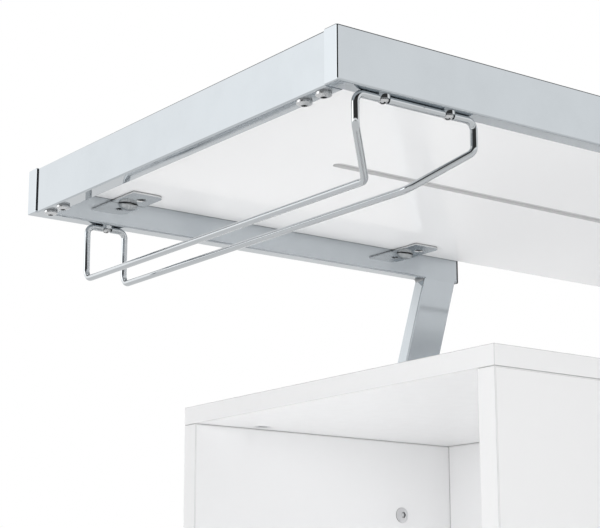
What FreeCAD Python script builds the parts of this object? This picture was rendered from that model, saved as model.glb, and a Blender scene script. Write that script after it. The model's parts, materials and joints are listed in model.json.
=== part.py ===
import FreeCAD, Part
import Sketcher
import math
import os
import re

# Bar table with an open cabinet hung between its leaning legs.
# X runs along the bar top, Y from the near side to the far side, Z up.
# The origin is on the floor, in the middle of the footprint.
# Left and right, near and far are mirror images, apart from the rack and the near side panels.

Vector = FreeCAD.Vector
NORMALS = {"XY_Plane": Vector(0, 0, 1), "XZ_Plane": Vector(0, 1, 0), "YZ_Plane": Vector(1, 0, 0)}

# Driving sizes in millimetres
SIZES = {
    "overall_length": 1210,
    "overall_depth": 440,
    "overall_height": 1050,
    # rectangular tube of the frame
    "tube_height": 40,
    "tube_thickness": 15,
    "tube_wall": 1.5,
    "tube_corner": 1.5,
    "arm_length": 489,
    "rail_drop": 0.3,
    "rail_setback": 1.3,
    "leg_top_setback": 464,
    "leg_foot_setback": 168,
    # plugs in the arm ends
    "outer_plug_plate": 1.2,
    "outer_plug_edge": 0.9,
    "inner_plug_plate": 2,
    "plug_core_length": 12,
    "plug_gap": 0.1,
    # bar top
    "board_thickness": 16,
    "board_recess": 0.6,
    "board_gap": 0.2,
    "groove_width": 12,
    "groove_depth": 3,
    "groove_setback": 168,
    # tabs under the bar top
    "tab_thickness": 2,
    "tab_width": 33,
    "tab_reach": 37,
    "tab_corner": 9,
    "outer_tab_setback": 92,
    "inner_tab_setback": 417,
    "tab_hole_setback": 18.5,
    "tab_hole_offset": 3,
    "tab_countersink_radius": 5.2,
    "tab_bead_radius": 5,
    "tab_screw_head_radius": 4,
    "tab_screw_head_height": 1.3,
    "tab_screw_radius": 2,
    "tab_screw_length": 13,
    # joint between the end rails and the arms
    "insert_length": 42,
    "outer_rail_screw_setback": 11.3,
    "inner_rail_screw_setback": 33.3,
    "rail_screw_radius": 2.5,
    "rail_screw_length": 12,
    "rail_screw_head_radius": 5.75,
    "rail_screw_head_height": 3.8,
    "rail_screw_head_side": 2,
    # rack of bent rod under the left end
    "rod_radius": 2.8,
    "upper_rod_bend": 6.5,
    "lower_rod_bend": 8.5,
    "rack_setback": 74.7,
    "rack_mouth_width": 107.3,
    "rack_rail_spacing": 37.8,
    "rack_rail_drop": 91,
    "rack_throat_drop": 65.3,
    "rack_throat_depth": 33.5,
    "rack_screw_spacing": 59,
    "rack_eye_radius": 5.4,
    "rack_eye_height": 3.2,
    "rack_screw_radius": 2,
    "rack_screw_length": 12,
    "rack_screw_head_radius": 4.2,
    "rack_screw_head_height": 3,
    "rack_screw_head_side": 0.8,
    # feet
    "foot_plug_plate": 3,
    "foot_plug_core": 25,
    "foot_pad_radius": 7.5,
    "foot_pad_height": 5,
    "foot_hex_radius": 6.8,
    "foot_hex_height": 4.7,
    "foot_stop_gap": 0.3,
    "stem_radius": 4,
    "stem_clearance": 0.05,
    "stem_seat": 5,
    "stem_length": 32,
    # edges of the board, the panels and the shelves
    "panel_edge": 0.8,
    # cabinet
    "cabinet_setback": 153,
    "cabinet_depth": 402,
    "cabinet_drop": 198,
    "cabinet_floor_height": 60,
    "lid_thickness": 16,
    "base_thickness": 16,
    "side_thickness": 18,
    "divider_thickness": 16,
    "end_compartment": 298,
    "shelf_thickness": 16,
    "shelf_setback": 3,
    "shelf_gap": 0.5,
    "end_shelf_height": 440,
    "lower_niche_shelf_height": 320,
    "upper_niche_shelf_height": 570,
    # shelf pins and their holes
    "pin_radius": 2.5,
    "pin_seat": 9,
    "pin_reach": 8,
    "pin_collar_radius": 4,
    "pin_collar": 1.5,
    "pin_inset": 45,
    "niche_pin_inset": 80,
    "hole_pitch": 32,
    # connector discs and their draw bolts, dowels
    "disc_radius": 7.5,
    "disc_depth": 12,
    "disc_setback": 24,
    "disc_slot_depth": 1,
    "disc_slot_length": 9,
    "disc_slot_width": 1.6,
    "outer_disc_setback": 215,
    "near_inner_disc_setback": 390,
    "far_inner_disc_setback": 520,
    "draw_bolt_radius": 3,
    "draw_bolt_drop": 24,
    "draw_bolt_end_gap": 2,
    "dowel_radius": 4,
    "dowel_length": 30,
    "dowel_end_gap": 0.5,
    "fitting_gap": 0.1,
    # leg bolts, with the spacers and nuts they pass through
    "upper_bolt_drop": 86,
    "lower_bolt_rise": 106,
    "bolt_offset": 3,
    "bolt_radius": 4,
    "bolt_head_radius": 7.25,
    "bolt_head_height": 2.8,
    "bolt_head_side": 0.6,
    "bolt_gap": 0.25,
    "spacer_radius": 10,
    "nut_radius": 7.5,
    "nut_height": 6.5,
    # screw drives, as shares of the head or the shank
    "socket_depth_share": 0.6,
    "socket_radius_share": 0.42,
    "recess_width_share": 0.3,
    "recess_length_share": 1.2,
    # how far a cutter runs past the face that it opens
    "run_out": 1,
}

# Formulas made of the driving sizes, used wherever pieces meet
FORMULAS = {
    "left_end": "-overall_length / 2",
    "near_side": "-overall_depth / 2",
    "tube_middle": "near_side + tube_thickness / 2",
    "tube_underside": "overall_height - tube_height",
    "bore_height": "tube_height - 2 * tube_wall",
    "bore_thickness": "tube_thickness - 2 * tube_wall",
    "core_height": "bore_height - 2 * plug_gap",
    "core_thickness": "bore_thickness - 2 * plug_gap",
    "arm_inner_face": "near_side + tube_thickness",
    "rail_outer_face": "left_end + rail_setback",
    "rail_middle": "rail_outer_face + tube_thickness / 2",
    "rail_underside": "tube_underside - rail_drop",
    "board_underside": "overall_height - board_recess - board_thickness",
    "leg_slope": "(leg_top_setback - leg_foot_setback) / (overall_height - tube_height)",
    "leg_stretch": "sqrt(1 + leg_slope ^ 2)",
    "plug_underside": "foot_pad_height + foot_hex_height + foot_stop_gap",
    "leg_underside": "plug_underside + foot_plug_plate",
    "cabinet_left": "left_end + cabinet_setback",
    "cabinet_near": "-cabinet_depth / 2",
    "cabinet_top": "overall_height - cabinet_drop",
    "lid_underside": "cabinet_top - lid_thickness",
    "base_top": "cabinet_floor_height + base_thickness",
    "panel_height": "lid_underside - base_top",
    "upper_bolt_height": "cabinet_top - upper_bolt_drop",
    "lower_bolt_height": "cabinet_floor_height + lower_bolt_rise",
    "side_inner_face": "cabinet_near + side_thickness",
    "side_middle": "cabinet_near + side_thickness / 2",
    "divider_left": "cabinet_left + end_compartment",
    "divider_middle": "divider_left + divider_thickness / 2",
    "niche_left": "divider_left + divider_thickness",
    "rack_middle": "left_end + rack_setback",
    "rack_eye_underside": "tube_underside - rack_eye_height",
}

doc = FreeCAD.newDocument("bar_cabinet")
sheet = doc.addObject("Spreadsheet::Sheet", "sizes")
for row, (alias, size) in enumerate(SIZES.items(), start=1):
    sheet.set(f"A{row}", alias)
    sheet.set(f"B{row}", str(size))
    sheet.setAlias(f"B{row}", alias)
doc.recompute()

sub_parts = []


# Helpers that tie objects to the sheet


def spell_out(text):
    """Replace the names of formulas and sizes in a text by cells of the sheet."""
    def formula(word):
        if word[0] in FORMULAS:
            return "(" + spell_out(FORMULAS[word[0]]) + ")"
        if word[0] in SIZES:
            return "sizes." + word[0]
        return word[0]
    return re.sub(r"[a-z][a-z_]*", formula, text)


def leg_middle(height):
    """X of the leg's centre line at a height above the floor."""
    return f"left_end + leg_foot_setback + leg_slope * ({height})"


def bolt_place(height):
    """X of a leg bolt, a little to the outer side of the leg's centre line."""
    return f"{leg_middle(height)} - bolt_offset"


def bind(thing, **properties):
    for name, text in properties.items():
        thing.setExpression(name, spell_out(str(text)))


def put(thing, x=0, y=0, z=0):
    """Place an object by formulas for its three coordinates."""
    for axis, text in zip("xyz", (x, y, z)):
        thing.setExpression("Placement.Base." + axis, spell_out(str(text)))
    return thing


def turn(thing, axis, degrees):
    thing.Placement = FreeCAD.Placement(Vector(0, 0, 0), FreeCAD.Rotation(axis, degrees))
    return thing


def box(name, length, width, height, x, y, z):
    thing = doc.addObject("Part::Box", name)
    bind(thing, Length=length, Width=width, Height=height)
    return put(thing, x, y, z)


def cylinder(name, radius, height, x=0, y=0, z=0, towards="z"):
    """A cylinder that grows from its base towards +Z, +Y or +X."""
    thing = doc.addObject("Part::Cylinder", name)
    bind(thing, Radius=radius, Height=height)
    if towards == "x":
        turn(thing, Vector(0, 1, 0), 90)
    if towards == "y":
        turn(thing, Vector(1, 0, 0), -90)
    return put(thing, x, y, z)


def hexagon(name, radius, height, x=0, y=0, z=0, towards="z"):
    """A six-sided prism with its corners at a radius."""
    thing = doc.addObject("Part::Prism", name)
    thing.Polygon = 6
    bind(thing, Circumradius=radius, Height=height)
    if towards == "y":
        turn(thing, Vector(1, 0, 0), -90)
    return put(thing, x, y, z)


def fuse(name, *things):
    thing = doc.addObject("Part::MultiFuse", name)
    thing.Shapes = list(things)
    return thing


def cut(name, base, *tools):
    """The base without its tools, which don't touch each other."""
    tool = tools[0]
    if len(tools) > 1:
        tool = doc.addObject("Part::Compound", name + "_cutters")
        tool.Links = list(tools)
    thing = doc.addObject("Part::Cut", name)
    thing.Base = base
    thing.Tool = tool
    return thing


def common(name, base, tool):
    thing = doc.addObject("Part::Common", name)
    thing.Base = base
    thing.Tool = tool
    return thing


def mirror(source, across, name):
    """The mirror image of an object across the X or Y mid-plane."""
    thing = doc.addObject("Part::Mirroring", name)
    thing.Source = source
    thing.Normal = Vector(1, 0, 0) if across == "x" else Vector(0, 1, 0)
    return thing


def sub_part(thing, label):
    thing.Label = label
    sub_parts.append(thing)
    return thing


def four_corners(name, *things):
    """Near left things and their mirror images as one group of separate solids."""
    links = []
    for number, thing in enumerate(things):
        far_left = mirror(thing, "y", f"{name}_{number}_far_left")
        near_right = mirror(thing, "x", f"{name}_{number}_near_right")
        far_right = mirror(near_right, "y", f"{name}_{number}_far_right")
        links += [thing, far_left, near_right, far_right]
    group = doc.addObject("Part::Compound", name + "_group")
    group.Links = links
    return sub_part(group, name)


def both_ends(name, *things):
    """Left things and their mirror images on the right as one group of separate solids."""
    group = doc.addObject("Part::Compound", name + "_group")
    group.Links = list(things) + [mirror(thing, "x", f"{name}_{number}_right")
                                  for number, thing in enumerate(things)]
    return sub_part(group, name)


def four_sub_parts(thing, stem):
    """The near left object and its three mirror images, each a sub-part of its own."""
    near_right = mirror(thing, "x", stem + "_mirrored_right")
    sub_part(thing, stem + "_near_left")
    sub_part(mirror(thing, "y", stem + "_mirrored_far"), stem + "_far_left")
    sub_part(near_right, stem + "_near_right")
    sub_part(mirror(near_right, "y", stem + "_mirrored_both"), stem + "_far_right")


def two_sub_parts(thing, stem):
    """The left object and its mirror image on the right."""
    sub_part(thing, stem + "_left")
    sub_part(mirror(thing, "x", stem + "_mirrored"), stem + "_right")


# Helpers for sketched bodies


def new_sketch(body, name, plane):
    sketch = body.newObject("Sketcher::SketchObject", name)
    support = [feature for feature in body.Origin.OriginFeatures if feature.Role == plane]
    sketch.AttachmentSupport = [(support[0], "")]
    sketch.MapMode = "FlatFace"
    return sketch


def rectangle(sketch, tag, across, up):
    """A rectangle about the sketch's origin, with its two sizes bound to formulas."""
    first = sketch.GeometryCount
    corners = [Vector(-9, -9, 0), Vector(9, -9, 0), Vector(9, 9, 0), Vector(-9, 9, 0)]
    for number in range(4):
        sketch.addGeometry(Part.LineSegment(corners[number], corners[(number + 1) % 4]), False)
    for number in range(4):
        following = first + (number + 1) % 4
        sketch.addConstraint(Sketcher.Constraint("Coincident", first + number, 2, following, 1))
    for direction, line in (("Horizontal", 0), ("Vertical", 1), ("Horizontal", 2), ("Vertical", 3)):
        sketch.addConstraint(Sketcher.Constraint(direction, first + line))
    sketch.addConstraint(Sketcher.Constraint("Symmetric", first, 1, first + 1, 2, -1, 1))
    for direction, line, end, text in (("DistanceX", 0, "_across", across), ("DistanceY", 1, "_up", up)):
        size = Sketcher.Constraint(direction, first + line, 1, first + line, 2, 18)
        sketch.renameConstraint(sketch.addConstraint(size), tag + end)
        sketch.setExpression("Constraints." + tag + end, spell_out(text))


def pad(body, name, sketch, length):
    feature = body.newObject("PartDesign::Pad", name)
    feature.Profile = sketch
    bind(feature, Length=length)
    body.Tip = feature
    return feature


def leaning_pad(body, name, sketch, length):
    """A pad that leans like the legs; its length is measured straight up."""
    feature = pad(body, name, sketch, length)
    feature.UseCustomVector = True
    feature.Direction = Vector(0.3, 0, 1)
    feature.setExpression("Direction.x", spell_out("leg_slope"))
    feature.AlongSketchNormal = True
    return feature


def round_long_edges(body, feature, plane):
    """Round the outermost four edges that run away from a plane, as on drawn tube."""
    doc.recompute()
    middle = feature.Shape.CenterOfMass
    long_edges = []
    for number, edge in enumerate(feature.Shape.Edges, start=1):
        if abs(edge.tangentAt(edge.FirstParameter).dot(NORMALS[plane])) > 0.5:
            long_edges.append((edge.CenterOfMass.distanceToPoint(middle), f"Edge{number}"))
    rounding = body.newObject("PartDesign::Fillet", body.Name + "_rounding")
    rounding.Base = (feature, [edge for distance, edge in sorted(long_edges)[-4:]])
    bind(rounding, Radius="tube_corner")
    body.Tip = rounding


def tube(name, plane, across, up, length):
    """A rectangular tube about the body's own origin, along the normal of a plane."""
    body = doc.addObject("PartDesign::Body", name)
    section = new_sketch(body, name + "_section", plane)
    rectangle(section, "outer", across, up)
    rectangle(section, "inner", f"{across} - 2 * tube_wall", f"{up} - 2 * tube_wall")
    round_long_edges(body, pad(body, name + "_length", section, length), plane)
    return body


def tube_cap(name, plane, across, up, thickness):
    """A plate with the outline of a tube, about the body's own origin."""
    body = doc.addObject("PartDesign::Body", name)
    outline = new_sketch(body, name + "_outline", plane)
    rectangle(outline, "outer", across, up)
    round_long_edges(body, pad(body, name + "_thickness", outline, thickness), plane)
    return body


def ease_all_edges(body, feature):
    easing = body.newObject("PartDesign::Fillet", body.Name + "_easing")
    easing.Base = (feature, [""])
    easing.UseAllEdges = True
    bind(easing, Radius="panel_edge")
    body.Tip = easing
    return easing


def panel(name, length, width, height, x, y, z):
    """A box with all its edges eased, placed by its lowest corner."""
    body = doc.addObject("PartDesign::Body", name)
    blank = body.newObject("PartDesign::AdditiveBox", name + "_box")
    bind(blank, Length=length, Width=width, Height=height)
    doc.recompute()
    ease_all_edges(body, blank)
    return put(body, x, y, z)


# Fasteners: each is drawn with its shank up from the origin and its head below it


def domed_head(name, radius, height, side):
    """A head with a straight side and a dome over it, which meets the side all round."""
    rise = f"({height} - {side})"
    dome = f"({radius} ^ 2 + {rise} ^ 2) / (2 * {rise})"
    blank = cylinder(name + "_blank", radius, height, z=f"-{height}")
    ball = doc.addObject("Part::Sphere", name + "_ball")
    bind(ball, Radius=dome)
    put(ball, z=f"{dome} - {height}")
    return common(name, blank, ball)


def round_head_screw(name, head_radius, head_height, head_side, radius, length):
    """A screw with a domed head and a six-sided socket."""
    head = domed_head(name + "_head", head_radius, head_height, head_side)
    shank = cylinder(name + "_shank", radius, f"{length} + {head_height} / 4", z=f"-{head_height} / 4")
    key = hexagon(name + "_key", f"{head_radius} * socket_radius_share",
                  f"{head_height} * socket_depth_share + run_out", z=f"-{head_height} - run_out")
    return cut(name, fuse(name + "_solid", head, shank), key)


def cross_recess(name, radius, depth, z):
    """Two crossed slots that a screwdriver fits."""
    slot = f"{radius} * recess_width_share"
    long = f"{radius} * recess_length_share"
    first = box(name + "_first", long, slot, depth, f"-({long}) / 2", f"-({slot}) / 2", z)
    second = box(name + "_second", slot, long, depth, f"-({slot}) / 2", f"-({long}) / 2", z)
    return fuse(name, first, second)


def pan_head_screw(name, head_radius, head_height, head_side, radius, length):
    head = domed_head(name + "_head", head_radius, head_height, head_side)
    shank = cylinder(name + "_shank", radius, f"{length} + {head_height} / 4", z=f"-{head_height} / 4")
    recess = cross_recess(name + "_recess", head_radius, f"{head_height} * socket_depth_share + run_out",
                          f"-{head_height} - run_out")
    return cut(name, fuse(name + "_solid", head, shank), recess)


# Frame


def make_arms():
    """Arm tubes along the long sides, each with a hole for every rack screw and leg below."""
    length = "arm_length - outer_plug_plate - inner_plug_plate"

    def arm(name):
        body = tube(name, "YZ_Plane", "tube_thickness", "tube_height", length)
        return put(body, "left_end + outer_plug_plate", "tube_middle", "overall_height - tube_height / 2")

    def drilled(name, body, offsets):
        holes = []
        for number, offset in enumerate(offsets):
            hole = cylinder(f"{name}_hole_{number}", "rack_screw_radius + fitting_gap",
                            "tube_wall + 2 * run_out", f"rack_middle + {offset}", "tube_middle",
                            "tube_underside - run_out")
            holes.append(hole)
        return cut(name + "_drilled", body, *holes)

    near = drilled("arm_near", arm("arm_near_tube"), ("rack_screw_spacing / 2", "-rack_screw_spacing / 2"))
    far_drilled = drilled("arm_far", arm("arm_far_tube"), ("0",))
    plain = arm("arm_plain_tube")
    near_right = mirror(plain, "x", "arm_near_right_mirrored")
    sub_part(near, "arm_near_left")
    sub_part(mirror(far_drilled, "y", "arm_far_left_mirrored"), "arm_far_left")
    sub_part(near_right, "arm_near_right")
    sub_part(mirror(near_right, "y", "arm_far_right_mirrored"), "arm_far_right")


def make_legs():
    """Leaning leg tubes, cut level at both ends, with a hole for each bolt."""
    body = doc.addObject("PartDesign::Body", "leg_tube")
    section = new_sketch(body, "leg_section", "XY_Plane")
    rectangle(section, "outer", "tube_height * leg_stretch", "tube_thickness")
    rectangle(section, "inner", "bore_height * leg_stretch", "bore_thickness")
    length = leaning_pad(body, "leg_length", section, "tube_underside - (leg_underside)")
    round_long_edges(body, length, "XY_Plane")
    put(body, leg_middle("leg_underside"), "tube_middle", "leg_underside")
    holes = []
    for height in ("upper_bolt_height", "lower_bolt_height"):
        hole = cylinder("leg_hole_" + height, "bolt_radius + bolt_gap", "tube_wall + 2 * run_out",
                        bolt_place(height), "arm_inner_face - tube_wall - run_out", height, "y")
        holes.append(hole)
    four_sub_parts(cut("leg_drilled", body, *holes), "leg")


def make_end_rails():
    """Tubes across the ends between the arms, a little lower than them and behind their ends."""
    body = tube("rail_tube", "XZ_Plane", "tube_thickness", "tube_height", "-2 * (arm_inner_face)")
    put(body, "rail_middle", "-(arm_inner_face)", "overall_height - rail_drop - tube_height / 2")
    holes = []
    for side in ("", "-"):
        for setback in ("outer_rail_screw_setback", "inner_rail_screw_setback"):
            hole = cylinder(f"rail_hole_{len(holes)}", "rail_screw_radius + fitting_gap",
                            "tube_wall + 2 * run_out", "rail_middle",
                            f"{side}(arm_inner_face + {setback})", "rail_underside - run_out")
            holes.append(hole)
    two_sub_parts(cut("rail_drilled", body, *holes), "end_rail")


def make_rail_joints():
    """Blocks welded to the arms that the rails slip over, and the screws that hold them."""
    block = box("insert_block", "core_thickness", "insert_length", "core_height",
                "rail_outer_face + tube_wall + plug_gap", "arm_inner_face",
                "rail_underside + tube_wall + plug_gap")
    holes = []
    screws = []
    for setback in ("outer_rail_screw_setback", "inner_rail_screw_setback"):
        y = f"arm_inner_face + {setback}"
        hole = cylinder("insert_hole_" + setback, "rail_screw_radius + plug_gap / 2",
                        "rail_screw_length + run_out", "rail_middle", y, "rail_underside")
        screw = round_head_screw("screw_" + setback, "rail_screw_head_radius", "rail_screw_head_height",
                                 "rail_screw_head_side", "rail_screw_radius", "rail_screw_length")
        holes.append(hole)
        screws.append(put(screw, "rail_middle", y, "rail_underside"))
    four_corners("rail_inserts", cut("insert_drilled", block, *holes))
    four_corners("rail_screws", *screws)


def soften_outer_face(cap):
    """Round the edges around a cap's face that looks towards -X."""
    doc.recompute()
    plate = cap.Tip
    lowest = plate.Shape.BoundBox.XMin
    outline = [f"Edge{number}" for number, edge in enumerate(plate.Shape.Edges, start=1)
               if edge.BoundBox.XMax < lowest + 0.1]
    rounding = cap.newObject("PartDesign::Fillet", cap.Name + "_face_edge")
    rounding.Base = (plate, outline)
    bind(rounding, Radius="outer_plug_edge")
    cap.Tip = rounding


def make_plugs():
    """Plugs in both ends of the arms, chromed caps at the bar's ends and black near its middle."""
    ends = {
        "outer_end_plugs": ("left_end", "outer_plug_plate", "left_end + outer_plug_plate"),
        "inner_end_plugs": ("left_end + arm_length - inner_plug_plate", "inner_plug_plate",
                            "left_end + arm_length - inner_plug_plate - plug_core_length"),
    }
    for name, (plate_x, thickness, core_x) in ends.items():
        plate = tube_cap(name + "_plate", "YZ_Plane", "tube_thickness", "tube_height", thickness)
        if name == "outer_end_plugs":
            soften_outer_face(plate)
        put(plate, plate_x, "tube_middle", "overall_height - tube_height / 2")
        core = box(name + "_core", "plug_core_length", "core_thickness", "core_height",
                   core_x, "near_side + tube_wall + plug_gap", "tube_underside + tube_wall + plug_gap")
        four_corners(name, fuse(name + "_solid", plate, core))


# Bar top


def tab_holes(name, radius, height, base):
    """Cylinders on the axes of the near left tab screws."""
    holes = []
    for tab in ("outer_tab_setback", "inner_tab_setback"):
        hole = cylinder(f"{name}_{tab}", radius, height, f"left_end + {tab} + tab_hole_offset",
                        "arm_inner_face + tab_hole_setback", base)
        holes.append(hole)
    return holes


def all_corners(name, things):
    """The things and their mirror images, as tools."""
    tools = list(things)
    tools += [mirror(thing, "x", f"{name}_x_{number}") for number, thing in enumerate(tools)]
    tools += [mirror(thing, "y", f"{name}_y_{number}") for number, thing in enumerate(tools)]
    return tools


def make_board():
    """Bar top lying between the tubes, with a blind groove along its underside."""
    body = doc.addObject("PartDesign::Body", "board_body")
    outline = new_sketch(body, "board_outline", "XY_Plane")
    rectangle(outline, "board", "overall_length - 2 * (rail_setback + tube_thickness + board_gap)",
              "overall_depth - 2 * tube_thickness - 2 * board_gap")
    slab = pad(body, "board_slab", outline, "board_thickness")
    doc.recompute()
    eased = ease_all_edges(body, slab)
    put(body, z="board_underside")
    sketch = new_sketch(body, "groove_outline", "XY_Plane")
    half = 400
    radius = 6
    sketch.addGeometry(Part.LineSegment(Vector(-half, radius, 0), Vector(half, radius, 0)), False)
    sketch.addGeometry(Part.LineSegment(Vector(half, -radius, 0), Vector(-half, -radius, 0)), False)
    right_end = Part.Circle(Vector(half, 0, 0), Vector(0, 0, 1), radius)
    left_end = Part.Circle(Vector(-half, 0, 0), Vector(0, 0, 1), radius)
    sketch.addGeometry(Part.ArcOfCircle(right_end, -math.pi / 2, math.pi / 2), False)
    sketch.addGeometry(Part.ArcOfCircle(left_end, math.pi / 2, 3 * math.pi / 2), False)
    for line, end, arc, arc_end in ((0, 2, 2, 2), (1, 1, 2, 1), (1, 2, 3, 2), (0, 1, 3, 1)):
        sketch.addConstraint(Sketcher.Constraint("Tangent", line, end, arc, arc_end))
    sketch.addConstraint(Sketcher.Constraint("Horizontal", 0))
    sketch.addConstraint(Sketcher.Constraint("Symmetric", 2, 3, 3, 3, -1, 1))
    across = sketch.addConstraint(Sketcher.Constraint("Radius", 2, radius))
    sketch.renameConstraint(across, "half_width")
    sketch.setExpression("Constraints.half_width", spell_out("groove_width / 2"))
    along = sketch.addConstraint(Sketcher.Constraint("DistanceX", 3, 3, 2, 3, 2 * half))
    sketch.renameConstraint(along, "between_centres")
    length = "overall_length - 2 * groove_setback - groove_width"
    sketch.setExpression("Constraints.between_centres", spell_out(length))
    groove = body.newObject("PartDesign::Pocket", "board_groove")
    groove.Profile = sketch
    groove.Reversed = True
    bind(groove, Length="groove_depth")
    body.Tip = groove
    doc.recompute()
    if groove.Shape.Volume > eased.Shape.Volume - 1:
        raise ValueError("the groove cuts nothing")
    pilots = tab_holes("pilot", "tab_screw_radius + plug_gap / 2",
                       "tab_screw_length - tab_thickness + 2 * run_out", "board_underside - run_out")
    sub_part(cut("board_drilled", body, *all_corners("pilot_copy", pilots)), "bar_top_board")


def make_tab(name, setback):
    """A plate with one rounded corner, a countersunk hole and a weld bead against the arm."""
    body = doc.addObject("PartDesign::Body", name + "_plate")
    outline = new_sketch(body, name + "_outline", "XY_Plane")
    rectangle(outline, "plate", "tab_width", "tab_reach")
    plate = pad(body, name + "_slab", outline, "tab_thickness")
    doc.recompute()
    corner = []
    for number, edge in enumerate(plate.Shape.Edges, start=1):
        middle = edge.CenterOfMass
        if abs(middle.z - edge.BoundBox.ZMin) > 0.1 and middle.x > 1 and middle.y > 1:
            if edge.BoundBox.ZLength > edge.BoundBox.XLength + edge.BoundBox.YLength:
                corner.append(f"Edge{number}")
    rounding = body.newObject("PartDesign::Fillet", name + "_corner")
    rounding.Base = (plate, corner)
    bind(rounding, Radius="tab_corner")
    body.Tip = rounding
    put(body, f"left_end + {setback}", "arm_inner_face + tab_reach / 2", "board_underside - tab_thickness")
    hole = doc.addObject("Part::Cone", name + "_countersink")
    bind(hole, Radius1="tab_countersink_radius", Radius2="tab_screw_radius + fitting_gap",
         Height="tab_thickness")
    put(hole, f"left_end + {setback} + tab_hole_offset", "arm_inner_face + tab_hole_setback",
        "board_underside - tab_thickness")
    ball = doc.addObject("Part::Sphere", name + "_ball")
    bind(ball, Radius="tab_bead_radius")
    bead_x = f"left_end + {setback}"
    put(ball, bead_x, "arm_inner_face", "board_underside - tab_thickness / 2")
    quarter = box(name + "_quarter", "2 * tab_bead_radius", "tab_bead_radius", "tab_bead_radius",
                  f"{bead_x} - tab_bead_radius", "arm_inner_face",
                  "board_underside - tab_thickness / 2 - tab_bead_radius")
    bead = common(name + "_bead", ball, quarter)
    return cut(name, fuse(name + "_welded", body, bead), hole)


def make_tabs():
    """Eight tabs welded inside the arms, and a wood screw through each into the board."""
    screws = []
    for number, setback in enumerate(("outer_tab_setback", "inner_tab_setback")):
        name = f"tab_screw_{number}"
        head = doc.addObject("Part::Cone", name + "_head")
        bind(head, Radius1="tab_screw_head_radius", Radius2="tab_screw_radius",
             Height="tab_screw_head_height")
        put(head, z="-tab_screw_head_height")
        shank = cylinder(name + "_shank", "tab_screw_radius", "tab_screw_length - tab_thickness")
        recess = cross_recess(name + "_recess", "tab_screw_head_radius",
                              "tab_screw_head_height * socket_depth_share + run_out",
                              "-tab_screw_head_height - run_out")
        screw = cut(name, fuse(name + "_solid", head, shank), recess)
        x = f"left_end + {setback} + tab_hole_offset"
        screws.append(put(screw, x, "arm_inner_face + tab_hole_setback", "board_underside"))
    four_corners("board_tabs", make_tab("outer_tab", "outer_tab_setback"),
                 make_tab("inner_tab", "inner_tab_setback"))
    four_corners("tab_screws", *screws)


# Rack of bent rod


def rounded_path(points, radii):
    """Straight runs through the points, joined by arcs that touch them, one radius to each corner."""
    edges = []
    start = points[0]
    for before, corner, after, radius in zip(points, points[1:], points[2:], radii):
        inward = (before - corner).normalize()
        outward = (after - corner).normalize()
        half_angle = inward.getAngle(outward) / 2
        reach = radius / math.tan(half_angle)
        centre_way = (inward + outward).normalize()
        first = corner + inward * reach
        last = corner + outward * reach
        middle = corner + centre_way * (radius / math.sin(half_angle) - radius)
        edges.append(Part.LineSegment(start, first).toShape())
        edges.append(Part.Arc(first, middle, last).toShape())
        start = last
    edges.append(Part.LineSegment(start, points[-1]).toShape())
    return Part.Wire(edges)


def make_rack():
    """One closed loop of rod: a wide mouth under the near arm, two rails, two posts at the far arm."""
    size = {alias: float(sheet.get(alias)) for alias in SIZES}
    middle = size["rack_setback"] - size["overall_length"] / 2
    arm_middle = (size["overall_depth"] - size["tube_thickness"]) / 2
    top = size["overall_height"] - size["tube_height"] - size["rod_radius"]
    throat = size["overall_height"] - size["rack_throat_drop"]
    rail = size["overall_height"] - size["rack_rail_drop"]
    narrow = middle + size["rack_rail_spacing"] / 2
    wide = middle + size["rack_mouth_width"] / 2
    inner_end = size["rack_throat_depth"] - arm_middle
    points = [
        Vector(middle, arm_middle, top),
        Vector(narrow, arm_middle, top),
        Vector(narrow, arm_middle, rail),
        Vector(narrow, inner_end, rail),
        Vector(wide, -arm_middle, throat),
        Vector(wide, -arm_middle, top),
        Vector(middle, -arm_middle, top),
    ]
    upper, lower = size["upper_rod_bend"], size["lower_rod_bend"]
    path = rounded_path(points, [upper, lower, lower, upper, upper])
    section = Part.Wire(Part.Circle(points[0], Vector(1, 0, 0), size["rod_radius"]).toShape())
    right_half = path.makePipeShell([section], True, False)
    left_half = right_half.mirror(Vector(middle, 0, 0), Vector(1, 0, 0))
    rod = right_half.fuse(left_half)
    expected = 2 * path.Length * math.pi * size["rod_radius"] ** 2
    if abs(rod.Volume - expected) > 0.01 * expected:
        raise ValueError("the rod's volume doesn't fit its length")
    spots = (
        (middle - size["rack_screw_spacing"] / 2, -arm_middle),
        (middle + size["rack_screw_spacing"] / 2, -arm_middle),
        (middle, arm_middle),
    )
    eye_base = top + size["rod_radius"] - size["rack_eye_height"]
    reach = size["rack_screw_head_radius"] + size["fitting_gap"]
    for x, y in spots:
        space = 3 * size["rod_radius"]
        clear = Part.makeBox(2 * reach, space, space, Vector(x - reach, y - space / 2, top - space / 2))
        disc = Part.makeCylinder(size["rack_eye_radius"], size["rack_eye_height"] - size["fitting_gap"],
                                 Vector(x, y, eye_base))
        hole = Part.makeCylinder(size["rack_screw_radius"] + size["fitting_gap"],
                                 space, Vector(x, y, top - space / 2))
        rod = rod.cut(clear).fuse(disc).cut(hole)
    rack = doc.addObject("Part::Feature", "rack_rod")
    rack.Shape = rod.removeSplitter()
    rack.Placement = FreeCAD.Placement()
    sub_part(rack, "stem_rack")


def make_rack_screws():
    screws = []
    for x, y in (("-rack_screw_spacing / 2", ""), ("rack_screw_spacing / 2", ""), ("0", "-")):
        screw = pan_head_screw(f"rack_screw_{len(screws)}", "rack_screw_head_radius",
                               "rack_screw_head_height", "rack_screw_head_side",
                               "rack_screw_radius", "rack_screw_length")
        screws.append(put(screw, f"rack_middle + {x}", f"{y}(tube_middle)", "rack_eye_underside"))
    group = doc.addObject("Part::Compound", "rack_screw_group")
    group.Links = screws
    sub_part(group, "rack_screws")


# Feet


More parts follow.
